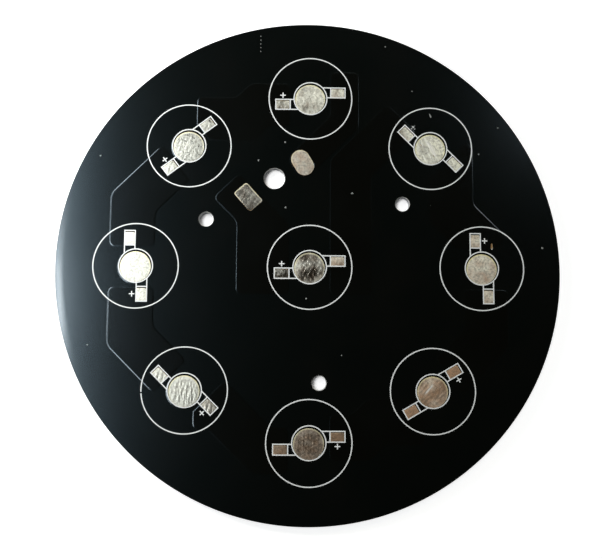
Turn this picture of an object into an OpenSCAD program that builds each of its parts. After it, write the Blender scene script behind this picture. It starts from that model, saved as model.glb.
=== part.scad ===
// Round aluminium-core circuit board for nine power emitters wired in series, with no emitters fitted.
// Millimetres, +Z up. The origin is the centre of the disc on its back face, and +Z is the printed side.

/* [Board] */
// Outer diameter of the board
board_d = 100; // [92:1:130]
// Thickness of the aluminium base plate
base_t = 1.5; // [0.8:0.1:3]
// Bevel that breaks the back edge of the base plate
edge_break = 0.2; // [0.05:0.05:0.5]
// Distance that the mask keeps from the rim and from the holes
mask_setback = 0.03; // [0.02:0.01:0.3]

/* [Layers] */
// Thickness of the insulating layer between plate and copper
dielectric_t = 0.1; // [0.05:0.01:0.2]
// Thickness of the etched copper
copper_t = 0.035; // [0.02:0.005:0.105]
// Thickness of the solder mask over the copper and on its flanks
mask_t = 0.025; // [0.015:0.005:0.05]
// Step that the face of the mask takes down beside the copper
mask_step = 0.02; // [0.01:0.005:0.02]
// Depth of the tinned faces below the face of the mask
tin_recess = 0.005; // [0.002:0.001:0.01]
// Gap between a tinned pad and the wall of its mask opening
tin_gap = 0.02; // [0.01:0.01:0.05]
// Thickness of the legend ink on the mask
ink_t = 0.015; // [0.01:0.005:0.03]

/* [Fixing holes] */
// Number of fixing holes
fixing_count = 3; // [2:1:4]
// Diameter of a fixing hole, clear of an M2.5 screw
fixing_hole_d = 2.9; // [2.2:0.1:4.5]
// Diameter of the circle through the fixing holes
fixing_pcd = 45.4; // [42:0.2:48]
// Angle of the first fixing hole from +X
fixing_angle = 35; // [30:1:40]

/* [Wire entry] */
// Diameter of the hole that the two wires come up through
wire_hole_d = 4.2; // [3:0.1:5.5]
// Distance of the wire hole from the centre of the board
wire_hole_reach = 19.3; // [18:0.1:21]
// Angle of the wire hole from +X
wire_hole_angle = 111.5; // [108:0.5:114]
// Length of the rectangular pad of the positive wire
plus_pad_l = 5; // [4:0.1:6]
// Width of the rectangular pad of the positive wire
plus_pad_w = 3.4; // [2.5:0.1:4]
// Corner radius of the rectangular pad
plus_pad_r = 0.5; // [0.2:0.1:1]
// Length of the oval pad of the negative wire
minus_pad_l = 5.4; // [4.5:0.1:6.5]
// Width of the oval pad of the negative wire
minus_pad_w = 3.75; // [2.5:0.05:4.2]

/* [Emitter sites] */
// Diameter of the pitch circle of the outer sites
pitch_d = 68.6; // [66:0.2:74]
// Diameter of the round pad under the slug of an emitter
slug_pad_d = 6; // [5:0.1:6.1]
// Length of a lead pad along the leads
lead_pad_l = 2.5; // [1.5:0.1:2.6]
// Width of a lead pad
lead_pad_w = 1.8; // [1:0.05:1.9]
// Distance of the lead pads from the middle of the site, along the leads
lead_reach = 5.55; // [5.45:0.05:5.65]
// Distance of the lead pads from the axis of the site, across the leads
lead_offset = 1.25; // [1.1:0.05:1.4]
// Corner radius of a lead pad
lead_pad_r = 0.2; // [0.1:0.05:0.4]
// Extra turn of the lower right site, which clears its two tracks
lower_right_turn = -15; // [-20:1:0]
// Extra turn of the upper left site, which clears its two tracks
upper_left_turn = -7.5; // [-15:0.5:0]

/* [Tracks] */
// Width of the tracks between the outer sites
rim_track_w = 8.6; // [7:0.1:9]
// Width of the track from the middle site to the first outer site
inner_track_w = 8; // [7:0.1:8.4]
// Width of the track to the negative wire pad
return_track_w = 5.5; // [4:0.1:5.8]
// Distance that a track keeps from the middle of a site, along the leads
lead_cut = 4.2; // [4.1:0.05:4.3]
// Distance from a pad to the edge of its copper
land_margin = 0.15; // [0.1:0.05:0.3]
// Width of copper outside a slug pad
slug_land_margin = 0.35; // [0.2:0.05:0.4]
// Length of edge that the rounding of a track's corner takes up
corner_ease = 1; // [0.4:0.1:1.5]
// Distance that copper keeps from a hole
hole_clearance = 1.2; // [0.5:0.1:1.5]

/* [Legend] */
// Radius of the outer ring, at the middle of its line
outer_ring_r = 8.37; // [8:0.01:9]
// Radius of the inner ring, at the middle of its line
inner_ring_r = 3.32; // [3.3:0.01:3.5]
// Width of the printed lines
line_w = 0.22; // [0.2:0.02:0.36]
// Length of a lead outline
lead_box_l = 2.9; // [2.8:0.05:3.2]
// Width of a lead outline
lead_box_w = 2.05; // [2:0.05:2.4]
// Span of the plus at the anode
plus_span = 1.1; // [0.8:0.05:1.3]
// Sideways registration error of the legend print
legend_shift_x = 0.06; // [-0.1:0.02:0.1]
// Lengthwise registration error of the legend print
legend_shift_y = 0.18; // [-0.2:0.02:0.2]

/* [Wear] */
// Width of the scuff that breaks the outer ring of the lower left site
scuff_w = 0.3; // [0.1:0.05:0.6]
// Length of the nick that bares the copper beside the right site
nick_l = 1.1; // [0.6:0.1:1.2]
// Width of the nick
nick_w = 0.35; // [0.2:0.05:0.5]

/* [Hidden] */
$fn = 96;
site_count = 9;
link_count = site_count - 1;

board_r = board_d / 2;
pitch_r = pitch_d / 2;

// Heights of the layers above the back face
copper_z = base_t + dielectric_t;
pad_z = copper_z + copper_t;
high_mask_z = pad_z + mask_t;
low_mask_z = high_mask_z - mask_step;
tin_t = mask_t - tin_recess;

// The wire pads stand one on each side of the wire hole
wire_hole_at = wire_hole_reach * [cos(wire_hole_angle), sin(wire_hole_angle)];
plus_pad_offset = [-5.2, -3.8];
plus_pad_at = wire_hole_at + plus_pad_offset;
plus_pad_turn = -48;
minus_pad_offset = [5.6, 3.3];
minus_pad_at = wire_hole_at + minus_pad_offset;
minus_pad_turn = -59;

// Each hole as [x, y, diameter]
holes = concat(
    [for (i = [0:fixing_count - 1])
        let (a = fixing_angle + i * 360 / fixing_count)
        [fixing_pcd / 2 * cos(a), fixing_pcd / 2 * sin(a), fixing_hole_d]],
    [[wire_hole_at[0], wire_hole_at[1], wire_hole_d]]);

// A hole is cut this far past both faces of a layer
overcut = 0.5;
// Half the length of the strip across a site that stays free of tracks
strip_half = 10;
// Points along the rounding of a track's corner
corner_steps = 3;
// Edges of the feed, from the middle of the board and from the middle of the positive pad
feed_left = 14.35;
feed_bottom = 5.1;
feed_side = 4.9;
feed_end = 4.6;
// How far the return track runs past the middle of the top site
return_rise = 5.6;
// How far the scuff lies below the middle of its site
scuff_drop = 0.3;
// How far the nick lies outside and above the middle of its site
nick_out = 2.08;
nick_up = 4.85;

// Where each link starts beside its first site and ends beside its second, its last straight run,
// and whether its path is laid from the second site to the first.
// A link with no run has a leg along Y and then a slanting leg.
links = [
    [[lead_cut + inner_track_w / 2, -feed_bottom], [-5.75, 6.25], 0, false],
    [[4.15, 1], [1.9, 3.5], 0, false],
    [[0.75, -lead_cut], [3.1, 2.76], 0, false],
    [[-1.65, -5.8], [lead_cut, lead_offset], 6, false],
    [[-lead_cut, -lead_offset], [1.95, -2.8], 5, true],
    [[-2.9, 2.8], [-0.75, -lead_cut], 0, true],
    [[-0.75, lead_cut], [-2.3, -3], 0, false],
    [[1.65, 5.8], [-lead_cut, -lead_offset], 6, false]];

// Sites 2 to 9 run clockwise round the pitch circle, and site 1 is the middle of the board
function site_angle(k) = 45 * (3 - k);
function site_at(k) = k == 1 ? [0, 0] : pitch_r * [cos(site_angle(k)), sin(site_angle(k))];
function is_slanted(k) = k % 2 == 0;
function is_right(k) = site_angle(k) == 0;
function is_lower_right(k) = site_angle(k) == -45;
function is_lower_left(k) = site_angle(k) == -135;
function is_upper_left(k) = site_angle(k) == -225;
function extra_turn(k) = is_lower_right(k) ? lower_right_turn : is_upper_left(k) ? upper_left_turn : 0;
function site_turn(k) = k == 1 ? 0 : site_angle(k) - 90 + extra_turn(k);

function unit(v) = v / norm(v);
function left_of(v) = [-v[1], v[0]];
function backwards(list) = [for (i = [len(list) - 1:-1:0]) list[i]];

// A leg along Y from a, then a 45 degree leg to b
function elbow(a, b) = [a, [a[0], b[1] - sign(b[1] - a[1]) * abs(b[0] - a[0])], b];

// A leg along X from a, a 45 degree leg, and a last run along X to b
function jog(a, b, run) =
    let (way = sign(b[0] - a[0]), rise = abs(b[1] - a[1]))
    [a, [b[0] - way * (run + rise), a[1]], [b[0] - way * run, b[1]], b];

// Point i of a path moved d to the left, with mitred bends
function mitre(path, i, d) =
    let (last = len(path) - 1,
         before = unit(path[max(i, 1)] - path[max(i, 1) - 1]),
         after = unit(path[min(i + 1, last)] - path[min(i + 1, last) - 1]))
    path[i] + d * left_of(before + after) / (1 + before * after);

// Outline of a track of width w along a path
function band(path, w) = concat(
    [for (i = [0:len(path) - 1]) mitre(path, i, -w / 2)],
    backwards([for (i = [0:len(path) - 1]) mitre(path, i, w / 2)]));

// A closed outline moved outwards by d
function grown(outline, d) =
    let (n = len(outline))
    [for (i = [0:n - 1])
        let (before = unit(outline[i] - outline[(i + n - 1) % n]),
             after = unit(outline[(i + 1) % n] - outline[i]))
        outline[i] - d * left_of(before + after) / (1 + before * after)];

// A closed outline with each corner replaced by a short parabola
function eased(outline, c) =
    let (n = len(outline))
    [for (i = [0:n - 1])
        let (p = outline[i],
             from = p + c * unit(outline[(i + n - 1) % n] - p),
             to = p + c * unit(outline[(i + 1) % n] - p))
        for (s = [0:corner_steps])
            let (t = s / corner_steps)
            (1 - t) * (1 - t) * from + 2 * t * (1 - t) * p + t * t * to];

function link_path(k) =
    let (a = site_at(k) + links[k - 1][0],
         b = site_at(k + 1) + links[k - 1][1],
         back = links[k - 1][3],
         first = back ? b : a,
         second = back ? a : b,
         run = links[k - 1][2])
    run > 0 ? jog(first, second, run) : elbow(first, second);

function return_path() =
    elbow(site_at(site_count) + [lead_cut + return_track_w / 2, return_rise], minus_pad_at);

// The feed runs slantwise past the positive pad and then down beside the middle site
function feed_outline() =
    let (sum = plus_pad_at[0] + plus_pad_at[1],
         low = sum - feed_side * sqrt(2),
         high = sum + (plus_pad_w / 2 + land_margin) * sqrt(2),
         far = plus_pad_at[0] - plus_pad_at[1] - feed_end * sqrt(2))
    [[(far + high) / 2, (high - far) / 2],
     [(far + low) / 2, (low - far) / 2],
     [-feed_left, low + feed_left],
     [-feed_left, -feed_bottom],
     [-lead_cut, -feed_bottom],
     [-lead_cut, high + lead_cut]];

module layer(z, h) {
    translate([0, 0, z])
        linear_extrude(height = h)
            children();
}

module at_site(k) {
    translate(site_at(k))
        rotate(site_turn(k))
            children();
}

module hole_circles(margin) {
    for (h = holes)
        translate([h[0], h[1]])
            circle(r = h[2] / 2 + margin);
}

module rounded_rect(l, w, r) {
    square([l - 2 * r, w], center = true);
    square([l, w - 2 * r], center = true);
    for (x = [-1, 1], y = [-1, 1])
        translate([x * (l / 2 - r), y * (w / 2 - r)])
            circle(r = r);
}

module oval(l, w) {
    square([l - w, w], center = true);
    for (x = [-1, 1])
        translate([x * (l - w) / 2, 0])
            circle(d = w);
}

// Pad shapes, each larger than its mask opening by margin
module slug_shape(k, margin) {
    at_site(k)
        circle(r = slug_pad_d / 2 + margin);
}

module lead_shape(k, way, margin) {
    at_site(k)
        translate(way * [lead_reach, lead_offset])
            rounded_rect(lead_pad_l + 2 * margin, lead_pad_w + 2 * margin, lead_pad_r + max(margin, 0));
}

module plus_wire_shape(margin) {
    translate(plus_pad_at)
        rotate(plus_pad_turn)
            rounded_rect(plus_pad_l + 2 * margin, plus_pad_w + 2 * margin, plus_pad_r + max(margin, 0));
}

module minus_wire_shape(margin) {
    translate(minus_pad_at)
        rotate(minus_pad_turn)
            oval(minus_pad_l + 2 * margin, minus_pad_w + 2 * margin);
}

// Copper shapes, each grown by d on every side
module track_shape(outline, d) {
    difference() {
        polygon(eased(grown(outline, d), corner_ease));
        hole_circles(hole_clearance - d);
    }
}

module free_strip(k, d) {
    at_site(k)
        square([2 * (lead_cut - d), 2 * strip_half], center = true);
}

module link_shape(k, d) {
    difference() {
        track_shape(band(link_path(k), k == 1 ? inner_track_w : rim_track_w), d);
        for (s = [k, k + 1])
            if (is_slanted(s) || is_right(k + 1))
                free_strip(s, d);
    }
    lead_shape(k, 1, land_margin + d);
    lead_shape(k + 1, -1, land_margin + d);
}

module feed_shape(d) {
    track_shape(feed_outline(), d);
    plus_wire_shape(land_margin + d);
    lead_shape(1, -1, land_margin + d);
}

module return_shape(d) {
    track_shape(band(return_path(), return_track_w), d);
    minus_wire_shape(land_margin + d);
    lead_shape(site_count, 1, land_margin + d);
}

module copper_shape(d) {
    feed_shape(d);
    return_shape(d);
    for (k = [1:link_count])
        link_shape(k, d);
    for (k = [1:site_count])
        slug_shape(k, slug_land_margin + d);
}

// The two copper shapes that end at a site, with its slug land
module site_copper_shape(k, d) {
    if (k == 1)
        feed_shape(d);
    else
        link_shape(k - 1, d);
    if (k == site_count)
        return_shape(d);
    else
        link_shape(k, d);
    slug_shape(k, slug_land_margin + d);
}

module pad_openings() {
    for (k = [1:site_count]) {
        slug_shape(k, 0);
        for (way = [-1, 1])
            lead_shape(k, way, 0);
    }
    plus_wire_shape(0);
    minus_wire_shape(0);
}

// A scratch along Y that goes through the mask
module nick_shape() {
    for (k = [2:site_count])
        if (is_right(k))
            translate(site_at(k) + [nick_out, nick_up])
                rotate(90)
                    oval(nick_l, nick_w);
}

// Legend of one site, in its own frame, with the anode on the -X side
module ring_line(r) {
    difference() {
        circle(r = r + line_w / 2);
        circle(r = r - line_w / 2);
    }
}

module lead_line() {
    low = lead_offset - lead_box_w / 2;
    high = lead_offset + lead_box_w / 2;
    near = lead_reach - lead_box_l / 2;
    difference() {
        translate([lead_reach, lead_offset])
            square([lead_box_l + line_w, lead_box_w + line_w], center = true);
        translate([lead_reach, lead_offset])
            square([lead_box_l - line_w, lead_box_w - line_w], center = true);
    }
    for (y = [low, high])
        let (start = sqrt(inner_ring_r * inner_ring_r - y * y))
        translate([start, y - line_w / 2])
            square([near - start, line_w]);
}

module plus_mark() {
    translate([-lead_reach, lead_offset / 2])
        for (a = [0, 90])
            rotate(a)
                square([plus_span, line_w], center = true);
}

module legend_shape(k) {
    difference() {
        translate([legend_shift_x, legend_shift_y]) {
            at_site(k) {
                ring_line(outer_ring_r);
                ring_line(inner_ring_r);
                for (a = [0, 180])
                    rotate(a)
                        lead_line();
                plus_mark();
            }
        }
        if (is_lower_left(k))
            translate(site_at(k) - [outer_ring_r, scuff_drop])
                square([4 * line_w, scuff_w], center = true);
        hole_circles(mask_setback);
    }
}

// Sub-parts, from the back face up
module base_plate() {
    color("silver")
        difference() {
            rotate_extrude()
                polygon([
                    [0, 0],
                    [board_r - edge_break, 0],
                    [board_r, edge_break],
                    [board_r, base_t],
                    [0, base_t]]);
            layer(-overcut, base_t + 2 * overcut)
                hole_circles(0);
        }
}

module dielectric_layer() {
    color("antiquewhite")
        layer(base_t, dielectric_t)
            difference() {
                circle(r = board_r);
                hole_circles(0);
            }
}

module feed_track() {
    color("peru")
        layer(copper_z, copper_t)
            feed_shape(0);
}

module link_track(k) {
    color("peru")
        layer(copper_z, copper_t)
            link_shape(k, 0);
}

module return_track() {
    color("peru")
        layer(copper_z, copper_t)
            return_shape(0);
}

module thermal_land(k) {
    color("peru")
        layer(copper_z, copper_t)
            slug_shape(k, slug_land_margin);
}

// One coat that lies on the dielectric, climbs over the copper and opens at the pads
module solder_mask() {
    color([0.04, 0.04, 0.04])
        difference() {
            union() {
                layer(copper_z, low_mask_z - copper_z)
                    difference() {
                        circle(r = board_r - mask_setback);
                        hole_circles(mask_setback);
                    }
                layer(copper_z, copper_t + mask_t)
                    copper_shape(mask_t);
            }
            layer(copper_z - overcut, copper_t + overcut)
                copper_shape(0);
            layer(copper_z, copper_t + mask_t + overcut) {
                pad_openings();
                nick_shape();
            }
        }
}

module slug_pad(k) {
    color("lightgray")
        layer(pad_z, tin_t)
            slug_shape(k, -tin_gap);
}

module anode_pad(k) {
    color("lightgray")
        layer(pad_z, tin_t)
            lead_shape(k, -1, -tin_gap);
}

module cathode_pad(k) {
    color("lightgray")
        layer(pad_z, tin_t)
            lead_shape(k, 1, -tin_gap);
}

module positive_wire_pad() {
    color("lightgray")
        layer(pad_z, tin_t)
            plus_wire_shape(-tin_gap);
}

module negative_wire_pad() {
    color("lightgray")
        layer(pad_z, tin_t)
            minus_wire_shape(-tin_gap);
}

// The ink has a level face, and fills down to the lower face of the mask beside the copper
module legend(k) {
    color("white") {
        layer(high_mask_z, ink_t)
            legend_shape(k);
        layer(low_mask_z, mask_step)
            difference() {
                legend_shape(k);
                site_copper_shape(k, mask_t);
            }
    }
}

base_plate();
dielectric_layer();
feed_track();
for (k = [1:link_count])
    link_track(k);
return_track();
for (k = [1:site_count])
    thermal_land(k);
solder_mask();
for (k = [1:site_count])
    slug_pad(k);
for (k = [1:site_count])
    anode_pad(k);
for (k = [1:site_count])
    cathode_pad(k);
positive_wire_pad();
negative_wire_pad();
for (k = [1:site_count])
    legend(k);
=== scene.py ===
"""Looks of the bare LED board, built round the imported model.

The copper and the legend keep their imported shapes. The plate, the insulation, the mask and the tin are
new surfaces on the same outlines, with the flow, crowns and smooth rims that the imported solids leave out.
Lengths here are millimetres, and the meshes are metres.
"""
import math

import bpy
import numpy as np
from mathutils import Euler, Matrix, Vector
from mathutils.geometry import delaunay_2d_cdt


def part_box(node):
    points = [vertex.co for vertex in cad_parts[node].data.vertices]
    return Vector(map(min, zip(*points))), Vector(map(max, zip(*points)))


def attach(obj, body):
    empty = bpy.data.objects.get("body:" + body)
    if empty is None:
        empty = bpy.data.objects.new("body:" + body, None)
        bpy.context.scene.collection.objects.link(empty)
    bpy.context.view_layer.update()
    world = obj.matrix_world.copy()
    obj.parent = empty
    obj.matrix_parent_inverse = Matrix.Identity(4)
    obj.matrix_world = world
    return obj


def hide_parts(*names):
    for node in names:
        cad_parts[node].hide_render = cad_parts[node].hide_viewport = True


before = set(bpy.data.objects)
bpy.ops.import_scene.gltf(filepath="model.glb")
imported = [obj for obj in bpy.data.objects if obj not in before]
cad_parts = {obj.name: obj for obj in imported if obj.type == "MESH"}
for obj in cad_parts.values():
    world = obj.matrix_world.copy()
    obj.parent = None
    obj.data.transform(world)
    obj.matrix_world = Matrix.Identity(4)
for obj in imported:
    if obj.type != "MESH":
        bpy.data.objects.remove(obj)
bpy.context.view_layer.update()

MM = 0.001

SITES = range(1, 10)
LINKS = range(1, 9)
COPPER_NODES = (
    ["feed_track", "return_track"]
    + [f"link_track_{k}" for k in LINKS]
    + [f"thermal_land_{k}" for k in SITES]
)
SLUG_NODES = [f"slug_pad_{k}" for k in SITES]
LEAD_NODES = [f"{side}_pad_{k}" for side in ("anode", "cathode") for k in SITES]
WIRE_NODES = ["positive_wire_pad", "negative_wire_pad"]
TIN_NODES = SLUG_NODES + LEAD_NODES + WIRE_NODES
LEGEND_NODES = [f"legend_{k}" for k in SITES]


def level(node):
    """Height of a node's upper face."""
    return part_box(node)[1].z / MM


PLATE_TOP = level("base_plate")
DIELECTRIC_TOP = level("dielectric_layer")
COPPER_TOP = level("feed_track")
MASK_TOP = level("solder_mask")
TIN_TOP = level("slug_pad_1")
MASK_T = MASK_TOP - COPPER_TOP
BOARD_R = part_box("base_plate")[1].y / MM

# The mask stops just short of the rim and of the holes
MASK_SETBACK = BOARD_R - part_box("solder_mask")[1].y / MM
# Part of the rim is rolled over: how far in from the rim, how deep, the middle and the spread of that part
# in degrees, and its rows
ROLL_REACH = 1.7
ROLL_DROP = 0.03
ROLL_AT = 185
ROLL_SPREAD = 12
ROLL_ROWS = 9
# The mask flows down over this width, from just inside the edge of the copper
FLANK_W = 0.25
FLANK_IN = 0.04
FLANK_ROWS = 13
# A flat row this wide beside each slope keeps the shading of the level faces true
GUARD_W = 0.012
# The mask at an opening: the width of its shoulder, how high it starts and how far it sags half-way up
SHOULDER_W = 0.03
LIP_RISE = MASK_T / 3
LIP_SAG = MASK_T / 8
# Gap between the tin and the mask, and how far the tin has spread past each kind of pad
TIN_GAP = 0.02
TIN_SPREAD = {
    "slug": 0.03,
    "anode": 0.07,
    "cathode": 0.07,
    "positive_wire": 0.0,
    "negative_wire": 0.0,
}
# The nick that bares the copper beside the right site
NICK_AT = (36.42, 4.58)
NICK_L = 1.25
NICK_W = 0.34
NICK_STEPS = 40
# The broken lower edge of the plate, and how high its middle lies
EDGE_BREAK = 0.2
EDGE_BULGE = 0.35
RIM_STEPS = 720
HOLE_STEPS = 144
# Faces that meet at more degrees than this have a sharp edge between them
CREASE = 35
# Points this near are the same: decimals of a place, heights of one face, an offset on the outline itself,
# and corners of the triangles
DIGITS = 4
SAME_HEIGHT = 1e-3
SAME_OFFSET = 1e-6
SAME_CORNER = 1e-7


# Outlines


def node_triangles(node):
    """Corner points of a node in millimetres, and its triangles."""
    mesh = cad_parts[node].data
    mesh.calc_loop_triangles()
    points = np.empty(3 * len(mesh.vertices), np.float32)
    mesh.vertices.foreach_get("co", points)
    triangles = np.empty(3 * len(mesh.loop_triangles), np.int32)
    mesh.loop_triangles.foreach_get("vertices", triangles)
    return points.reshape(-1, 3).astype(float) / MM, triangles.reshape(-1, 3)


def low_mask_top():
    """Height of the mask beside the copper: the second highest level of its points."""
    return np.unique(node_triangles("solder_mask")[0][:, 2].round(DIGITS))[-2]


def upper_outline(node):
    """Outline of a node's upper face: the sides that only one of its upward triangles has.

    Returns the points, and the sides as pairs of point numbers with the face on their left.
    """
    points, triangles = node_triangles(node)
    height = points[:, 2]
    upper = triangles[(height[triangles] > height.max() - SAME_HEIGHT).all(1)]
    flat, number = np.unique(points[:, :2].round(DIGITS), axis=0, return_inverse=True)
    upper = number.ravel()[upper]
    sides = np.concatenate([upper[:, [0, 1]], upper[:, [1, 2]], upper[:, [2, 0]]])
    _, first, uses = np.unique(np.sort(sides, 1), axis=0, return_index=True, return_counts=True)
    rim = sides[first[uses == 1]]
    kept, rim = np.unique(rim, return_inverse=True)
    return flat[kept], rim.reshape(-1, 2)


def joined(outlines):
    """Several outlines as one set of points and sides."""
    starts = np.cumsum([0] + [len(points) for points, _ in outlines[:-1]])
    points = np.concatenate([points for points, _ in outlines])
    return points, np.concatenate([sides + start for (_, sides), start in zip(outlines, starts)])


def circle_outline(x, y, r, steps, way=1):
    """A circle of equal sides, anticlockwise for way 1 and clockwise for way -1."""
    turn = way * np.linspace(0, 2 * np.pi, steps, endpoint=False)
    number = np.arange(steps)
    points = np.stack([x + r * np.cos(turn), y + r * np.sin(turn)], 1)
    return points, np.stack([number, (number + 1) % steps], 1)


def oval_outline(x, y, length, width, steps):
    """A slot along Y: a circle of the slot's width, with its halves moved apart."""
    points, sides = circle_outline(x, y, width / 2, steps)
    points[:, 1] += np.sign(points[:, 1] - y) * (length - width) / 2
    return points, sides


def divided(outline, step):
    """An outline with each side cut into equal parts no longer than step."""
    points, sides = outline
    start, along = points[sides[:, 0]], points[sides[:, 1]] - points[sides[:, 0]]
    parts = np.ceil(np.linalg.norm(along, axis=1) / step).astype(int)
    first = np.cumsum(parts) - parts
    side = np.repeat(np.arange(len(sides)), parts)
    part = np.arange(parts.sum()) - first[side]
    dense = start[side] + along[side] * (part / parts[side])[:, None]
    side_from = np.empty(len(points), int)
    side_from[sides[:, 0]] = np.arange(len(sides))
    last = part == parts[side] - 1
    after = np.where(last, first[side_from[sides[side, 1]]], np.arange(len(dense)) + 1)
    return dense, np.stack([np.arange(len(dense)), after], 1)


def mitres(outline):
    """For each point, the move that carries both its sides outwards by one: the sum of their normals,
    divided by one plus their dot product."""
    points, sides = outline
    along = points[sides[:, 1]] - points[sides[:, 0]]
    along /= np.linalg.norm(along, axis=1, keepdims=True)
    normal = np.stack([along[:, 1], -along[:, 0]], 1)
    before, after = np.empty_like(points), np.empty_like(points)
    after[sides[:, 0]] = normal
    before[sides[:, 1]] = normal
    return (before + after) / (1 + (before * after).sum(1, keepdims=True))


def carried(outline, profile):
    """A profile carried along outlines: row k is the outline moved outwards by the profile's offset k,
    at its height k."""
    offsets, heights = np.array(profile, float).T
    rows = outline[0][None] + offsets[:, None, None] * mitres(outline)[None]
    return np.concatenate([rows, np.broadcast_to(heights[:, None, None], rows.shape[:2] + (1,))], 2)


def tin_outline(node):
    """Outline of the tin on a pad: its packed outline, moved out by as far as the tin has spread."""
    points, sides = upper_outline(node)
    return points + TIN_SPREAD[node.split("_pad")[0]] * mitres((points, sides)), sides


def strips(sides, rows, count):
    """Quads between neighbouring rows of count points, with their faces outwards where the rows climb."""
    start = count * np.arange(rows - 1)[:, None]
    a, b = sides.T
    return np.stack([start + a, start + b, start + count + b, start + count + a], 2).reshape(-1, 4)


def level_triangles(points, sides):
    """Triangles that fill the points' hull and keep all the sides.

    Corners that crossing sides add come after the points. Each takes the height of the point nearest
    to it.
    """
    places, _, triangles = delaunay_2d_cdt(
        list(map(Vector, points[:, :2].tolist())), sides.tolist(), [], 0, SAME_CORNER
    )[:3]
    added = np.array(places)[len(points):].reshape(-1, 2)
    apart = np.linalg.norm(added[:, None] - points[None, :, :2], axis=2)
    nearest = apart.argmin(1) if len(added) else np.empty(0, int)
    source = np.concatenate([np.arange(len(points)), nearest])
    corners = points[source].copy()
    corners[len(points):, :2] = added
    return corners, np.array(triangles), source


def hole_circles():
    """Centre and radius of each hole: loops of the plate's outline that stay inside its rim.

    Each point takes the lowest number on its loop, by steps that double.
    """
    points, sides = upper_outline("base_plate")
    ahead = np.empty(len(points), int)
    ahead[sides[:, 0]] = sides[:, 1]
    label = np.arange(len(points))
    for _ in range(int(np.ceil(np.log2(len(points))))):
        label = np.minimum(label, label[ahead])
        ahead = ahead[ahead]
    loops = [points[label == value] for value in np.unique(label)]
    middles = [(loop.min(0) + loop.max(0)) / 2 for loop in loops]
    radii = [np.linalg.norm(loop - middle, axis=1).max() for loop, middle in zip(loops, middles)]
    return [(*middle, r) for middle, r in zip(middles, radii) if r < BOARD_R / 2]


HOLES = hole_circles()
LOW_MASK_TOP = low_mask_top()


# Pieces


def piece(name, points, faces, finish, nodes):
    """A mesh object at the origin that rides on the board and stands for some of its nodes."""
    mesh = bpy.data.meshes.new(name)
    mesh.from_pydata((np.asarray(points) * MM).tolist(), [], faces)
    mesh.shade_smooth()
    mesh.set_sharp_from_angle(angle=math.radians(CREASE))
    mesh.materials.append(finish)
    made = bpy.data.objects.new(name, mesh)
    bpy.context.scene.collection.objects.link(made)
    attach(made, "root")
    if nodes:
        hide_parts(*nodes)
    return made


def set_value(made, name, values):
    """A number for each point of a piece, which its finish reads by that name."""
    attribute = made.data.attributes.new(name, "FLOAT", "POINT")
    attribute.data.foreach_set("value", np.asarray(values, np.float32))


def smooth(t):
    """The S-curve 3t^2 - 2t^3 between 0 and 1."""
    t = np.clip(t, 0, 1)
    return t * t * (3 - 2 * t)


def punched_disc(name, rim_profile, hole_profile, finish, node):
    """A disc with the board's holes: one profile carried round the rim and one round each hole, from the
    lower face to the upper, and level faces between them."""
    rim = circle_outline(0, 0, BOARD_R, RIM_STEPS)
    holes = joined([circle_outline(x, y, r, HOLE_STEPS, -1) for x, y, r in HOLES])
    count = len(rim[0]) + len(holes[0])
    _, sides = joined([rim, holes])
    rows = np.concatenate([carried(rim, rim_profile), carried(holes, hole_profile)], 1)
    _, inside, _ = level_triangles(rows[-1], sides)
    hole = (inside - len(rim[0])) // HOLE_STEPS
    in_hole = (hole[:, 0] >= 0) & (np.ptp(hole, axis=1) == 0)
    face = inside[~in_hole]
    faces = [
        *strips(sides, len(rows), count).tolist(),
        *(face + count * (len(rows) - 1)).tolist(),
        *face[:, ::-1].tolist(),
    ]
    piece(name, rows.reshape(-1, 3), faces, finish, [node])


def roll_share(points):
    """Share of the rim's roll in each direction from the middle: a bell curve about the part that is
    rolled over."""
    turn = np.degrees(np.arctan2(points[..., 1], points[..., 0])) % 360
    return np.exp(-(((turn - ROLL_AT) / ROLL_SPREAD) ** 2))


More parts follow.
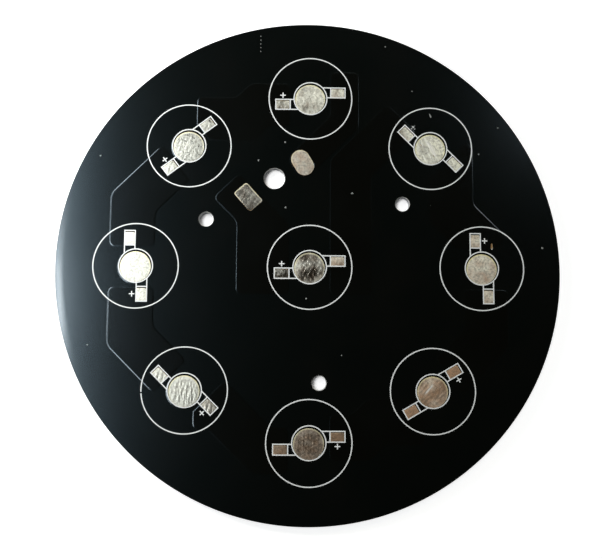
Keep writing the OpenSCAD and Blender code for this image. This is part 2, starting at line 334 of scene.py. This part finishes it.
def mask_rows():
    """Every row of the mask's upper face.

    Returns points, sides, and for each point whether it is on the last row round an opening, how far it is
    raised and whether copper lies under it.
    """
    fall = np.linspace(0, 1, FLANK_ROWS)
    slope = MASK_TOP - (MASK_TOP - LOW_MASK_TOP) * smooth(fall)
    flank = [(-FLANK_IN - GUARD_W, MASK_TOP)]
    flank += list(zip(FLANK_W * fall - FLANK_IN, slope))
    flank += [(FLANK_W - FLANK_IN + GUARD_W, LOW_MASK_TOP)]
    roll = np.linspace(0, 1, ROLL_ROWS)
    rim = [(-MASK_SETBACK - ROLL_REACH - GUARD_W, LOW_MASK_TOP)]
    rim += list(zip(ROLL_REACH * (roll - 1) - MASK_SETBACK, LOW_MASK_TOP - ROLL_DROP * roll**2))
    hole = [
        (-MASK_SETBACK, DIELECTRIC_TOP + LIP_RISE),
        (-MASK_SETBACK - SHOULDER_W / 2, LOW_MASK_TOP - LIP_SAG),
        (-MASK_SETBACK - SHOULDER_W, LOW_MASK_TOP),
        (-MASK_SETBACK - SHOULDER_W - GUARD_W, LOW_MASK_TOP),
    ]
    pad = [
        (TIN_GAP, COPPER_TOP + LIP_RISE),
        (TIN_GAP + SHOULDER_W / 2, MASK_TOP - LIP_SAG),
        (TIN_GAP + SHOULDER_W, MASK_TOP),
        (TIN_GAP + SHOULDER_W + GUARD_W, MASK_TOP),
    ]
    nick = [(offset - TIN_GAP, height) for offset, height in pad]
    holes = joined([circle_outline(x, y, r, HOLE_STEPS, -1) for x, y, r in HOLES])
    families = [
        (joined([upper_outline(node) for node in COPPER_NODES]), flank, False, None),
        (circle_outline(0, 0, BOARD_R, RIM_STEPS), rim, False, False),
        (holes, hole, True, False),
        (joined([tin_outline(node) for node in TIN_NODES]), pad, True, True),
        (oval_outline(*NICK_AT, NICK_L, NICK_W, NICK_STEPS), nick, True, True),
    ]
    points, sides, opening, raised, on_copper = [], [], [], [], []
    start = 0
    for outline, profile, opens, over in families:
        rows = carried(outline, profile)
        if profile is rim:
            rows[:, :, 2] = LOW_MASK_TOP + roll_share(rows) * (rows[:, :, 2] - LOW_MASK_TOP)
        count = len(outline[0])
        numbers = start + count * np.arange(len(rows))[:, None, None] + outline[1][None]
        points.append(rows.reshape(-1, 3))
        sides.append(numbers.reshape(-1, 2))
        first_row = np.repeat(np.arange(len(rows)) == 0, count)
        opening.append(first_row & opens)
        climb = (rows[:, :, 2].ravel() - LOW_MASK_TOP) / (MASK_TOP - LOW_MASK_TOP)
        raised.append(climb if over is None else np.full(len(first_row), float(over)))
        inside = np.repeat([offset <= SAME_OFFSET for offset, _ in profile], count)
        on_copper.append(inside if over is None else np.full(len(first_row), over))
        start += len(first_row)
    return map(np.concatenate, (points, sides, opening, raised, on_copper))


def mask_coat(finish):
    """The mask as one coat: its upper face climbs over the copper in an S-curve, its lower face lies on the
    copper and the insulation, and walls join the two round the rim and the openings."""
    points, sides, opening, raised, on_copper = mask_rows()
    points, upper, source = level_triangles(points, sides)
    opening, raised = opening[source], raised[source]
    upper = upper[~opening[upper].all(1)]
    floor = np.where(on_copper[source], COPPER_TOP, DIELECTRIC_TOP)
    lower_points = np.column_stack([points[:, :2], floor])
    count = len(points)
    edges = np.concatenate([upper[:, [0, 1]], upper[:, [1, 2]], upper[:, [2, 0]]])
    _, first, uses = np.unique(np.sort(edges, 1), axis=0, return_index=True, return_counts=True)
    a, b = edges[first[uses == 1]].T
    walls = np.stack([a + count, b + count, b, a], 1)
    faces = [*upper.tolist(), *(upper[:, ::-1] + count).tolist(), *walls.tolist()]
    both = np.concatenate([points, lower_points])
    made = piece("mask_coat", both, faces, finish, ["solder_mask"])
    set_value(made, "raised", np.concatenate([raised, raised]))


def waves(x, y, lengths, count, lean, scatter, seed):
    """Sine waves of random lengths between two, in directions that scatter about lean degrees: their
    lengths, and the value of each at every point."""
    draw = np.random.default_rng(seed)
    length = np.exp(draw.uniform(*np.log(lengths), count))
    turn = np.radians(lean + scatter * draw.normal(size=count))
    shift = draw.uniform(0, 2 * np.pi, count)
    along = x[..., None] * np.cos(turn) + y[..., None] * np.sin(turn)
    return length, np.sin(2 * np.pi * along / length + shift)


def relief(x, y, slope, lean, scatter, seed):
    """Height of frozen ripples: a sum of sine waves whose slopes add up to slope degrees on average."""
    length, wave = waves(x, y, RIPPLE_L, RIPPLES, lean, scatter, seed)
    size = math.radians(slope) * math.sqrt(2 / RIPPLES) * length / (2 * np.pi)
    return (size * wave).sum(-1)


def patches(x, y, seed):
    """An uneven field about zero: a sum of long sine waves in all directions."""
    _, wave = waves(x, y, PATCH_L, PATCHES, 0, 180, seed)
    return wave.sum(-1) * math.sqrt(2 / PATCHES)


def streak_field(x, y, lean, offset, width, length):
    """A streak across the direction lean: a bell curve over its width, smooth at its two ends."""
    c, s = math.cos(math.radians(lean)), math.sin(math.radians(lean))
    across, along = c * x + s * y - offset, c * y - s * x
    return np.exp(-((across / width) ** 2)) * smooth((length / 2 - np.abs(along)) / (length / 4))


def tin_pad(node, crown, look, finish):
    """Tin that froze on a pad: its outline shrunk towards its middle in rings, crowned by 1 - r^4 and
    rippled, with the ripples fading at the edge, over a wall and a level lower face."""
    frost, tarnish, slope, lean, scatter, patchy, mottle, seed = look
    points, sides = divided(tin_outline(node), TIN_STEP)
    middle = (points.min(0) + points.max(0)) / 2
    reach = np.linalg.norm(points - middle, axis=1)
    ring = np.linspace(1, 0, int(reach.max() / TIN_STEP) + 2)[:-1, None]
    away = ring[..., None] * (points - middle)
    x, y = away[..., 0], away[..., 1]
    height = TIN_TOP - TIN_SHY + (crown + relief(x, y, slope, lean, scatter, seed)) * (1 - ring**4)
    top = np.concatenate([middle + away, height[..., None]], 2)
    foot = np.concatenate([points, np.full((len(points), 1), COPPER_TOP)], 1)[None]
    rows = np.concatenate([foot, top])
    count = len(points)
    tip = [*middle, height[-1].mean()]
    base = [*middle, COPPER_TOP]
    last = count * (len(rows) - 1)
    total = count * len(rows)
    fan = np.stack([sides[:, 0] + last, sides[:, 1] + last, np.full(count, total)], 1)
    under = np.stack([sides[:, 1], sides[:, 0], np.full(count, total + 1)], 1)
    faces = [*strips(sides, len(rows), count).tolist(), *fan.tolist(), *under.tolist()]
    corners = np.concatenate([rows.reshape(-1, 3), [tip, base]])
    made = piece("tin_" + node, corners, faces, finish, [node])
    uneven = patches(x, y, seed)
    # Painted highlight: a bright streak across two of the slugs
    streak = streak_field(x, y, *HIGHLIGHT_STREAKS[node]) if node in HIGHLIGHT_STREAKS else 0 * x
    # Painted highlight: a pale yellow rim round the tin, strongest on the sides towards +Y
    facing = np.clip(EDGE_SIDE * (1 + y / np.hypot(x, y)), 0, 1)
    edge = EDGE_HIGHLIGHT[node.split("_pad")[0]] * facing * smooth(1 - (1 - ring) * reach / EDGE_W)
    for name, values in (
        ("frost", np.clip(frost + patchy * uneven, 0, FROST_MAX)),
        ("tarnish", tarnish - TARNISH_PATCH * patchy * uneven),
        ("mottle", mottle + 0 * x),
        ("edge", edge),
        ("streak", streak),
    ):
        ends = values[-1, :1], values[0, :1]
        set_value(made, name, np.concatenate([values[0], values.ravel(), *ends]))


def specks(finish):
    """Dust on the mask: low domes whose outline is an uneven circle, the height falling as 1 - r^2."""
    turn = np.linspace(0, 2 * np.pi, SPECK_STEPS, endpoint=False)
    ring = np.array(SPECK_RINGS)
    three_lobes, two_lobes = SPECK_LOBES
    points, faces = [], []
    for number, (x, y, length, width, lean, ground) in enumerate(SPECKS):
        uneven = 1 + three_lobes * np.sin(3 * turn + number)
        uneven += two_lobes * np.sin(2 * turn + 2 * number)
        along = ring[:, None] * uneven * np.cos(turn) * length / 2
        across = ring[:, None] * uneven * np.sin(turn) * width / 2
        c, s = math.cos(math.radians(lean)), math.sin(math.radians(lean))
        height = ground + SPECK_RISE * width * (1 - ring[:, None] ** 2) + 0 * along
        dome = np.stack([x + c * along - s * across, y + s * along + c * across, height], 2)
        dome = dome.reshape(-1, 3)
        start = len(dome) * number + 2 * number
        count = len(turn)
        after = (np.arange(count) + 1) % count
        sides = np.stack([np.arange(count), after], 1)
        tip = start + len(dome)
        last = start + count * (len(ring) - 1)
        points.append(np.concatenate([dome, [[x, y, ground + SPECK_RISE * width], [x, y, ground]]]))
        fan = np.stack([sides[:, 0] + last, sides[:, 1] + last, np.full(count, tip)], 1)
        under = np.stack([sides[:, 1] + start, sides[:, 0] + start, np.full(count, tip + 1)], 1)
        faces += (strips(sides, len(ring), count) + start).tolist()
        faces += fan.tolist() + under.tolist()
    piece("dust_specks", np.concatenate(points), faces, finish, [])


# Node trees

# Sockets of the Mix node for colours
MIX_SHARE, MIX_FIRST, MIX_SECOND, MIX_COLOUR = 0, 6, 7, 2
COLOURS = {
    "mask_on_resin": (0.0011, 0.0016, 0.0011),
    "mask_on_copper": (0.0015, 0.0014, 0.0007),
    "mask_cloud": (0.0019, 0.0020, 0.0013),
    "tin_dull": (0.89, 0.88, 0.77),
    "tin_clean": (1.0, 0.99, 0.88),
    "tin_tarnish": (0.62, 0.40, 0.25),
    "tin_speck": (0.24, 0.22, 0.17),
    "tin_edge_highlight": (0.90, 0.88, 0.60),
    "tin_streak_highlight": (0.92, 0.91, 0.86),
    "ink_low": (0.79, 0.81, 0.80),
    "ink_high": (0.88, 0.90, 0.89),
    "ink_worn": (0.02, 0.024, 0.022),
    "copper_dark": (0.78, 0.47, 0.20),
    "copper_light": (0.88, 0.57, 0.27),
    "sheet_dark": (0.66, 0.67, 0.68),
    "sheet_light": (0.80, 0.81, 0.82),
    "torn_rim": (0.50, 0.50, 0.51),
    "resin_dark": (0.62, 0.60, 0.52),
    "resin_light": (0.76, 0.75, 0.69),
    "dust_dark": (0.16, 0.17, 0.16),
    "dust_light": (0.36, 0.38, 0.36),
    "paper_dark": (0.70, 0.70, 0.70),
    "paper_light": (0.72, 0.72, 0.72),
    "paper_glow": (0.74, 0.74, 0.74),
    "no_glow": (0, 0, 0),
    "ceiling": (0.0085, 0.008, 0.0055),
    "wall": (0.16, 0.16, 0.156),
    "horizon": (0.75, 0.75, 0.75),
}


class Field:
    """A socket of a node tree. Arithmetic on fields and numbers adds Math nodes."""

    def __init__(self, tree, socket):
        self.tree = tree
        self.socket = socket

    def result(self, operation, first, second):
        return self.tree.add("ShaderNodeMath", {"operation": operation}, {0: first, 1: second})

    def __add__(self, other):
        return self.result("ADD", self, other)

    def __radd__(self, other):
        return self.result("ADD", other, self)

    def __sub__(self, other):
        return self.result("SUBTRACT", self, other)

    def __rsub__(self, other):
        return self.result("SUBTRACT", other, self)

    def __mul__(self, other):
        return self.result("MULTIPLY", self, other)

    def __rmul__(self, other):
        return self.result("MULTIPLY", other, self)


class Tree:
    """The node tree of a finish, with the patterns that several finishes use."""

    def __init__(self, nodes):
        self.nodes = nodes
        self.nodes.nodes.clear()

    def add(self, kind, settings=None, inputs=None, output=0):
        """A node of any kind: its settings are set first, then the values or links of its sockets."""
        node = self.nodes.nodes.new(kind)
        for name, value in (settings or {}).items():
            setattr(node, name, value)
        for name, value in (inputs or {}).items():
            if isinstance(value, Field):
                self.nodes.links.new(value.socket, node.inputs[name])
            else:
                node.inputs[name].default_value = value
        return Field(self, node.outputs[output] if node.outputs else None)

    def place(self):
        """Position on the board in millimetres."""
        position = self.add("ShaderNodeTexCoord", output="Object")
        sockets = {0: position, "Scale": 1 / MM}
        return self.add("ShaderNodeVectorMath", {"operation": "SCALE"}, sockets)

    def stretched(self, position, scale):
        """A position scaled along each axis."""
        sockets = {"Vector": position, "Scale": scale}
        return self.add("ShaderNodeMapping", {"vector_type": "POINT"}, sockets)

    def noise(self, position, scale, detail=2.0, roughness=0.5):
        """Noise between 0 and 1."""
        sockets = {"Vector": position, "Scale": scale, "Detail": detail, "Roughness": roughness}
        return self.add("ShaderNodeTexNoise", None, sockets, "Fac")

    def spread(self, value, low, high, start=0.0, end=1.0):
        """A value carried from low..high to start..end, clamped, in an S-curve."""
        return self.add(
            "ShaderNodeMapRange",
            {"interpolation_type": "SMOOTHSTEP"},
            {"Value": value, "From Min": low, "From Max": high, "To Min": start, "To Max": end},
        )

    def blend(self, share, first, second):
        """A colour that goes from first to second. Each is a field or a name in COLOURS."""
        ends = [(*COLOURS[end], 1) if isinstance(end, str) else end for end in (first, second)]
        sockets = {MIX_SHARE: share, MIX_FIRST: ends[0], MIX_SECOND: ends[1]}
        return self.add("ShaderNodeMix", {"data_type": "RGBA"}, sockets, MIX_COLOUR)

    def stored(self, name):
        """The number that a piece keeps for each of its points."""
        return self.add("ShaderNodeAttribute", {"attribute_name": name}, None, "Fac")

    def distance(self, position, x, y, z):
        """Distance from a point on the board, in millimetres."""
        sockets = {0: position, 1: (x, y, z)}
        return self.add("ShaderNodeVectorMath", {"operation": "DISTANCE"}, sockets, "Value")

    def height(self, position):
        """The Z of a position."""
        return self.add("ShaderNodeSeparateXYZ", None, {0: position}, "Z")

    def bump(self, value, rise):
        """Normal of a relief that is rise millimetres high."""
        sockets = {"Height": value, "Distance": rise * MM, "Strength": 1.0}
        return self.add("ShaderNodeBump", None, sockets)


def finish(name, build):
    """A material whose build function returns the sockets of its Principled BSDF."""
    material = bpy.data.materials.new(name)
    material.use_nodes = True
    tree = Tree(material.node_tree)
    surface = tree.add("ShaderNodeBsdfPrincipled", None, build(tree))
    tree.add("ShaderNodeOutputMaterial", None, {"Surface": surface})
    return material


def mask_finish(t):
    """Glossy black mask: blue-black on the insulation, brown-black and smoother over copper, with fine
    orange peel."""
    place = t.place()
    raised = t.stored("raised")
    cloud = t.noise(place, scale=0.09, detail=3.0)
    peel = t.noise(place, scale=5.0)
    colour = t.blend(raised, "mask_on_resin", "mask_on_copper")
    return {
        "Base Color": t.blend(t.spread(cloud, 0.4, 0.75), colour, "mask_cloud"),
        "Roughness": 0.165 + 0.02 * cloud - 0.014 * raised,
        "IOR": 1.55,
        "Specular Tint": (0.6, 0.84, 1.0, 1),
        "Coat Weight": 1.0,
        "Coat Roughness": 0.1,
        "Coat IOR": 1.5,
        "Normal": t.bump(peel, rise=0.001),
    }


def tin_finish(t):
    """Tin levelled by hot air: flakes and fine grain, frost and tarnish that differ by pad, a pale yellow
    edge that is a painted highlight towards +Y, and bright streaks that are painted highlights."""
    place = t.place()
    frost, tarnish, mottle = t.stored("frost"), t.stored("tarnish"), t.stored("mottle")
    edge, streak = t.stored("edge"), t.stored("streak")
    flake = t.noise(t.stretched(place, (1.0, 0.6, 1.0)), scale=2.8, detail=3.0, roughness=0.6)
    grain = t.noise(place, scale=4.5, roughness=0.6)
    speck = t.noise(place, scale=2.7, detail=1.0)
    blotch = t.noise(place, scale=0.7)
    stain = t.spread(0.6 * blotch + tarnish, 0.35, 1.25)
    colour = t.blend(t.spread(flake, 0.35, 0.65), "tin_dull", "tin_clean")
    colour = t.blend(stain, colour, "tin_tarnish")
    colour = t.blend(t.spread(speck, 0.42, 0.7, 0.0, 0.4), colour, "tin_speck")
    # Painted highlight: the pale yellow rim of the tin
    colour = t.blend(0.8 * edge, colour, "tin_edge_highlight")
    rough = 0.12 + 0.36 * frost + 0.12 * flake + 0.5 * mottle * (flake - 0.5)
    return {
        # Painted highlight: the bright streaks, in a paler colour
        "Base Color": t.blend(streak, colour, "tin_streak_highlight"),
        "Metallic": 1.0,
        "Roughness": rough + 0.25 * edge + 0.15 * streak,
        "Normal": t.bump(grain, rise=0.008),
    }


def ink_finish(t):
    """White screen ink with a fine grain, thin where it is worn off one plus."""
    place = t.place()
    grain = t.noise(place, scale=6.0)
    near = t.spread(t.distance(place, *WORN_PLUS), *WORN_REACH, 1.0, 0.0)
    worn = near * t.spread(t.noise(place, scale=3.0), 0.38, 0.56)
    white = t.blend(grain, "ink_low", "ink_high")
    return {
        "Base Color": t.blend(worn, white, "ink_worn"),
        "Roughness": 0.42 + 0.2 * grain,
        "Normal": t.bump(grain, rise=0.004),
    }


def copper_finish(t):
    """Etched copper with a fine grain and a few darker clouds."""
    place = t.place()
    grain = t.noise(place, scale=4.0, detail=3.0)
    cloud = t.noise(place, scale=0.3)
    return {
        "Base Color": t.blend(cloud, "copper_dark", "copper_light"),
        "Metallic": 1.0,
        "Roughness": 0.3 + 0.2 * grain,
        "Normal": t.bump(grain, rise=0.006),
    }


def aluminium_finish(t):
    """Rolled aluminium sheet with lines along X on its faces, and a punched rim: smooth below, torn
    above."""
    place = t.place()
    roll = t.noise(t.stretched(place, (0.05, 3.0, 3.0)), scale=2.0, detail=4.0, roughness=0.6)
    torn = t.noise(t.stretched(place, (2.0, 2.0, 0.6)), scale=3.0, detail=3.0)
    tear = t.spread(t.height(place), *TORN_FROM)
    sheet = t.blend(roll, "sheet_dark", "sheet_light")
    return {
        "Base Color": t.blend(tear, sheet, "torn_rim"),
        "Metallic": 1.0 - 0.75 * tear,
        "Roughness": 0.3 + 0.14 * roll + 0.3 * tear * torn,
        "Normal": t.bump(0.5 * roll + 0.5 * tear * torn, rise=0.01),
    }


def dielectric_finish(t):
    """Filled resin: cream, with fine pale grains."""
    grain = t.noise(t.place(), scale=8.0, detail=3.0)
    return {
        "Base Color": t.blend(grain, "resin_dark", "resin_light"),
        "Roughness": 0.5 + 0.15 * grain,
    }


def dust_finish(t):
    """Pale dust."""
    grain = t.noise(t.place(), scale=9.0)
    return {
        "Base Color": t.blend(grain, "dust_dark", "dust_light"),
        "Roughness": 0.8 + 0.1 * grain,
    }


def paper_finish(t):
    """White paper with a faint tooth. The camera also sees a glow, which makes it white. The glow fades in
    the holes and beside the rim, where the board hides the sky to the left, and so paints the board's
    shadow."""
    tooth = t.noise(t.place(), scale=1.5, detail=3.0)
    seen = t.add("ShaderNodeLightPath", output="Is Camera Ray")
    lean = t.add("ShaderNodeCombineXYZ", None, dict(enumerate(PAINTED_SHADOW_LEAN)))
    sockets = {"Distance": PAINTED_SHADOW_REACH * MM, "Normal": lean}
    sky = t.add("ShaderNodeAmbientOcclusion", {"samples": PAINTED_SHADOW_SAMPLES}, sockets, "AO")
    # Painted shadow: the glow dims in the holes and beside the rim
    glow = seen * t.spread(sky, *PAINTED_SHADOW_OPEN)
    return {
        "Base Color": t.blend(tooth, "paper_dark", "paper_light"),
        "Roughness": 0.9 + 0.05 * tooth,
        "Specular IOR Level": 0.1,
        "Emission Color": t.blend(glow, "no_glow", "paper_glow"),
        "Emission Strength": 1.0,
    }


# Values of the tin, the dust and the wear

# Ripples and patches of the tin: how many waves, and their shortest and longest length
RIPPLES = 18
RIPPLE_L = (0.3, 1.1)
PATCHES = 6
PATCH_L = (1.6, 6.0)
# How far the tarnish follows the patches, and the most frost that a pad can have
TARNISH_PATCH = 0.4
FROST_MAX = 1.7
# Pale yellow edge of the tin, a painted highlight: its width, its strength on each kind of pad, and its
# share on the sides that face along X. It fades towards -Y
EDGE_W = 0.36
EDGE_HIGHLIGHT = {
    "slug": 1.0,
    "anode": 0.15,
    "cathode": 0.15,
    "positive_wire": 1.0,
    "negative_wire": 0.6,
}
EDGE_SIDE = 0.8
# Longest side of the tin's mesh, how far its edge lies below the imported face, and the height of its crowns
TIN_STEP = 0.07
TIN_SHY = 0.005
SLUG_CROWN = 0.02
LEAD_CROWN = 0.012
WIRE_CROWN = 0.02
# Tin of each site: frost, tarnish, slope of its ripples, their direction and its scatter in degrees, how
# patchy and how mottled it is, and its seed
SITE_TIN = {
    1: (0.38, 0.40, 4.6, 20, 60, 0.18, 0.3, 375),
    2: (1.35, -0.05, 7.0, 30, 10, 0.35, 0.1, 1342),
    3: (1.45, 0.36, 2.4, 10, 40, 0.16, 0.1, 6319),
    4: (1.12, 0.72, 3.0, 140, 12, 0.20, 0.1, 893),
    5: (0.45, 0.66, 2.4, 0, 60, 0.05, 0.15, 8096),
    6: (0.72, -0.20, 6.0, 0, 12, 0.08, 0.0, 2301),
    7: (0.66, -0.20, 1.0, 0, 60, 0.00, 0.0, 7),
    8: (0.46, 0.02, 2.2, 30, 70, 0.04, 0.7, 4539),
    9: (0.90, 0.16, 2.8, 5, 35, 0.20, 0.3, 7184),
}
# Lead pads that differ from their site: frost, tarnish and slope
LEAD_TIN = {
    "anode_pad_1": (0.18, 0.35, 3.0),
    "cathode_pad_1": (1.05, 0.46, 2.0),
    "anode_pad_2": (1.00, 0.15, 1.5),
    "anode_pad_4": (1.35, 0.95, 1.5),
    "cathode_pad_4": (1.25, 0.95, 1.5),
    "anode_pad_5": (0.70, 0.95, 1.2),
    "cathode_pad_5": (0.60, 0.80, 1.2),
    "anode_pad_6": (0.35, 0.35, 3.0),
    "cathode_pad_8": (0.42, 0.15, 2.5),
    "anode_pad_9": (0.47, 0.30, 3.0),
    "cathode_pad_9": (0.80, 0.25, 2.0),
}
WIRE_TIN = {
    "positive_wire_pad": (0.18, 0.38, 2.0, 125, 30, 0.06, 0.15, 6624),
    "negative_wire_pad": (0.70, 0.46, 1.6, 0, 60, 0.05, 0.1, 5938),
}
# Streaks that are painted highlights: the direction across each, how far it lies from the middle of its pad,
# its width and its length
HIGHLIGHT_STREAKS = {"slug_pad_2": (30, 0.4, 0.4, 4.4), "slug_pad_4": (140, 0.9, 0.18, 3.0)}
# The worn plus, and the distances between which the wear fades out
WORN_PLUS = (20.83, 28.8, MASK_TOP)
WORN_REACH = (0.5, 0.9)
# The rim of the plate is smooth below these heights and torn above them
TORN_FROM = (0.45, 0.7)
# Painted shadow: the paper's glow follows the open sky. Its direction, how near the board has to be to hide
# it, the open shares between which it fades in, and its samples
PAINTED_SHADOW_LEAN = (-0.66, 0.24, 0.71)
PAINTED_SHADOW_REACH = 8
PAINTED_SHADOW_OPEN = (0.30, 0.39)
PAINTED_SHADOW_SAMPLES = 32
# Domes of dust: height as a share of their width, points round each, its rings, and how far three lobes and
# two make it uneven
SPECK_RISE = 0.1
SPECK_STEPS = 12
SPECK_RINGS = (1, 0.85, 0.55)
SPECK_LOBES = (0.18, 0.12)
# Dust: place, length, width, lean in degrees and the height of the mask there
SPECKS = [
    (-41.8, 22.2, 0.35, 0.3, 0, LOW_MASK_TOP),
    (-10.3, 21.6, 0.4, 0.3, 60, LOW_MASK_TOP),
    (-5.0, 25.4, 0.35, 0.3, 0, MASK_TOP),
    (-4.8, 12.1, 0.4, 0.35, 0, MASK_TOP),
    (8.5, 15.1, 0.6, 0.5, 20, LOW_MASK_TOP),
    (24.4, 31.2, 0.9, 0.3, -65, LOW_MASK_TOP),
    (34.1, 23.4, 0.3, 0.3, 0, LOW_MASK_TOP),
    (38.1, 28.9, 0.3, 0.3, 0, LOW_MASK_TOP),
    (46.6, 4.4, 0.45, 0.4, 0, LOW_MASK_TOP),
    (-0.6, -6.1, 0.35, 0.3, 0, LOW_MASK_TOP),
    (20.7, 36.3, 0.25, 0.25, 0, LOW_MASK_TOP),
    (15.3, 45.6, 0.25, 0.25, 0, LOW_MASK_TOP),
    (24.2, 12.8, 0.25, 0.25, 0, LOW_MASK_TOP),
    (6.4, -17.2, 0.25, 0.25, 0, LOW_MASK_TOP),
    (-43.2, -15.4, 0.3, 0.25, 0, LOW_MASK_TOP),
    (-10.1, 47.4, 0.22, 0.18, 90, LOW_MASK_TOP),
    (-10.1, 46.6, 0.22, 0.18, 90, LOW_MASK_TOP),
    (-10.1, 45.8, 0.22, 0.18, 90, LOW_MASK_TOP),
    (-10.1, 45.0, 0.22, 0.18, 90, LOW_MASK_TOP),
    (-10.1, 44.2, 0.22, 0.18, 90, LOW_MASK_TOP),
]


# The dressed board

aluminium = finish("rolled_aluminium", aluminium_finish)
dielectric = finish("cream_dielectric", dielectric_finish)
copper = finish("etched_copper", copper_finish)
mask = finish("black_mask", mask_finish)
tin = finish("levelled_tin", tin_finish)
ink = finish("white_ink", ink_finish)
dust = finish("pale_dust", dust_finish)
paper = finish("white_paper", paper_finish)

for nodes, material in ((COPPER_NODES, copper), (LEGEND_NODES, ink)):
    for node in nodes:
        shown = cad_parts[node].data
        shown.materials.clear()
        shown.materials.append(material)

plate_rim = [
    (-EDGE_BREAK, 0),
    (-EDGE_BREAK / 2, EDGE_BREAK * EDGE_BULGE),
    (0, EDGE_BREAK),
    (0, PLATE_TOP),
]
plate_hole = [(0, 0), (0, EDGE_BREAK / 3), (0, EDGE_BREAK), (0, PLATE_TOP)]
punched_disc("plate", plate_rim, plate_hole, aluminium, "base_plate")
layer = [(0, PLATE_TOP), (0, DIELECTRIC_TOP)]
punched_disc("insulation", layer, layer, dielectric, "dielectric_layer")
mask_coat(mask)
for k in SITES:
    for kind, crown in (("slug", SLUG_CROWN), ("anode", LEAD_CROWN), ("cathode", LEAD_CROWN)):
        node = f"{kind}_pad_{k}"
        look = SITE_TIN[k]
        tin_pad(node, crown, LEAD_TIN.get(node, look[:3]) + look[3:], tin)
for node in WIRE_NODES:
    tin_pad(node, WIRE_CROWN, WIRE_TIN[node], tin)
specks(dust)


# Stage, light and camera

# Camera: degrees that turn the board into the camera's axes, the board's place in them, and the focal
# length
IMAGE_WIDTH = 602
CAMERA_TURN = (-5.437, 1.339, -0.465)
BOARD_IN_CAMERA = (1.617, 2.025, -147.68)
FOCAL_PIXELS = 737.74
SENSOR = 36.0
CLIP_START = 0.01
# Paper: how far it lies below the board, its radius, the radius of its middle and its points
FLOOR_DROP = 0.02
FLOOR_R = 4000
FLOOR_MIDDLE_R = 50
FLOOR_STEPS = 96
# The sky's colour changes between these heights of its direction
WALL_CLIMB = (0.3, 0.98)
HORIZON_CLIMB = (0.08, 0.2)
# Lamps: direction to the right and up, width and height in degrees as seen from the board, distance in
# metres, brightness of the face, and colour
LAMPS = {
    "left_window": (-21.5, 7, 6, 40, 2.0, 6.9, (0.93, 1.0, 1.04)),
    "bright_pane": (-20.6, 3.5, 2.4, 6, 2.0, 7.0, (1.0, 1.0, 0.99)),
    "left_panel": (-62.5, 38, 22, 22, 0.13, 24.5, (1.0, 1.0, 1.0)),
    "top_panel": (16, 46, 60, 16, 2.0, 1.9, (1.0, 0.97, 0.84)),
    "right_panel": (26, 23, 9, 9, 2.0, 2.3, (1.0, 1.0, 1.0)),
}


def floor_disc():
    """The paper under the board: a flat ring about a flat middle."""
    outline = circle_outline(0, 0, FLOOR_R, FLOOR_STEPS)
    rows = carried(outline, [(0, -FLOOR_DROP), (FLOOR_MIDDLE_R - FLOOR_R, -FLOOR_DROP)])
    middle = list(range(FLOOR_STEPS, 2 * FLOOR_STEPS))
    mesh = bpy.data.meshes.new("floor")
    points = rows.reshape(-1, 3) * MM
    mesh.from_pydata(points.tolist(), [], [*strips(outline[1], 2, FLOOR_STEPS).tolist(), middle])
    mesh.materials.append(paper)
    made = bpy.data.objects.new("floor", mesh)
    bpy.context.scene.collection.objects.link(made)


def softbox(name, right, up, width, tall, reach, radiance, colour):
    """A rectangular lamp that faces the board: its direction and size in degrees as seen from the board,
    its distance in metres and the brightness of its face."""
    aim = Vector((math.tan(math.radians(right)), math.tan(math.radians(up)), 1)).normalized()
    side = (Vector((1, 0, 0)) - aim * aim.x).normalized()
    lamp = bpy.data.lights.new(name, "AREA")
    lamp.shape = "RECTANGLE"
    lamp.size = 2 * reach * math.tan(math.radians(width) / 2)
    lamp.size_y = 2 * reach * math.tan(math.radians(tall) / 2)
    lamp.energy = radiance * math.pi * lamp.size * lamp.size_y
    lamp.color = colour
    made = bpy.data.objects.new(name, lamp)
    turn = Matrix((side, aim.cross(side), aim)).transposed().to_4x4()
    made.matrix_world = Matrix.Translation(aim * reach) @ turn
    made.visible_camera = False
    bpy.context.scene.collection.objects.link(made)


def studio():
    """A dark ceiling over pale walls: the sky's colour climbs as its direction nears the horizon."""
    world = bpy.data.worlds.new("studio")
    world.use_nodes = True
    tree = Tree(world.node_tree)
    climb = tree.height(tree.add("ShaderNodeTexCoord", output="Generated"))
    colour = tree.blend(tree.spread(climb, *WALL_CLIMB, 1.0, 0.0), "ceiling", "wall")
    colour = tree.blend(tree.spread(climb, *HORIZON_CLIMB, 1.0, 0.0), colour, "horizon")
    sky = tree.add("ShaderNodeBackground", None, {"Color": colour, "Strength": 1.0})
    tree.add("ShaderNodeOutputWorld", None, {"Surface": sky})
    bpy.context.scene.world = world


def photo_camera():
    """A camera where the photograph was taken from, with its focal length."""
    camera = bpy.data.cameras.new("camera")
    camera.sensor_fit = "HORIZONTAL"
    camera.sensor_width = SENSOR
    camera.lens = FOCAL_PIXELS * SENSOR / IMAGE_WIDTH
    camera.clip_start = CLIP_START
    made = bpy.data.objects.new("camera", camera)
    turn = Euler([math.radians(a) for a in CAMERA_TURN], "XYZ").to_matrix().to_4x4()
    made.matrix_world = (Matrix.Translation(Vector(BOARD_IN_CAMERA) * MM) @ turn).inverted()
    bpy.context.scene.collection.objects.link(made)
    bpy.context.scene.camera = made


floor_disc()
studio()
for name, lamp in LAMPS.items():
    softbox(name, *lamp)
photo_camera()
bpy.context.scene.view_settings.view_transform = "Standard"
